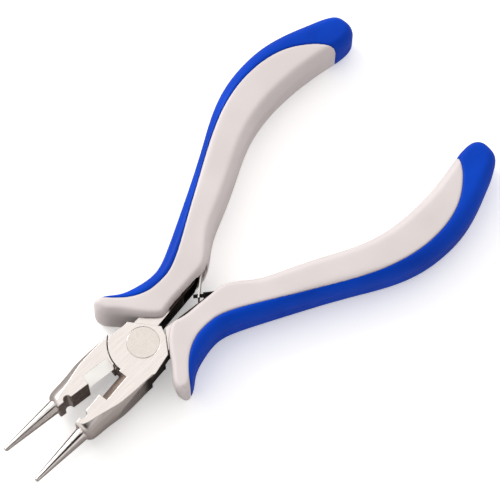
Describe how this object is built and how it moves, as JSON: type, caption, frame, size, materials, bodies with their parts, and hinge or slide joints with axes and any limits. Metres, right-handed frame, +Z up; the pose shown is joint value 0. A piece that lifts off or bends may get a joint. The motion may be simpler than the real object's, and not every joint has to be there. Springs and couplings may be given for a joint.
{
  "type": "round nose pliers",
  "caption": "Jewellery pliers with smooth tapering round noses, a short gripping flat, a side cutter near the joint, a sprung lap joint and two-tone moulded grips.",
  "frame": {"origin": "centre of the joint's lower ground face, on the pivot's axis", "axes": "+X from the joint towards the handles, +Z up along the pivot's axis, the tool lying flat and fully open"},
  "size_m": [0.1406, 0.0718, 0.0126],
  "materials": {
    "polished_steel": "fine ground flats, polished noses",
    "rivet_steel": "ground flush",
    "spring_steel": "dark tempered strip",
    "pin_steel": "drawn wire",
    "grip_grey": "satin soft moulding",
    "grip_blue": "satin soft moulding"
  },
  "bodies": {
    "rear_half": {"rear_lever": "polished_steel", "joint_rivet": "rivet_steel", "rear_grip_body": "grip_grey", "rear_grip_trim": "grip_blue", "tongue_leaf_pin": "pin_steel"},
    "front_half": {"front_lever": "polished_steel", "front_grip_body": "grip_grey", "front_grip_trim": "grip_blue", "slotted_leaf_pin": "pin_steel"},
    "slotted_leaf": {"slotted_leaf_spring": "spring_steel"},
    "tongue_leaf": {"tongue_leaf_spring": "spring_steel"}
  },
  "joints": [
    {"name": "handle_close", "type": "hinge", "parent": "rear_half", "child": "front_half", "pos_m": [0, 0, 0.0047], "axis": [0, 0, -1], "range_deg": [0, 13], "stiffness_Nm_per_rad": 0.6, "springref_deg": -11.46},
    {"name": "slotted_leaf_bend", "type": "hinge", "parent": "front_half", "child": "slotted_leaf", "pos_m": [0.02484, 0.00459, 0.0047], "axis": [0, 0, -1], "range_deg": [0, 19.2]},
    {"name": "tongue_leaf_bend", "type": "hinge", "parent": "rear_half", "child": "tongue_leaf", "pos_m": [0.02484, -0.00459, 0.0047], "axis": [0, 0, 1], "range_deg": [0, 19.2]}
  ],
  "couplings": [
    {"joint": "slotted_leaf_bend", "follows": "handle_close", "ratio": 1.4615},
    {"joint": "tongue_leaf_bend", "follows": "handle_close", "ratio": 1.4615}
  ]
}
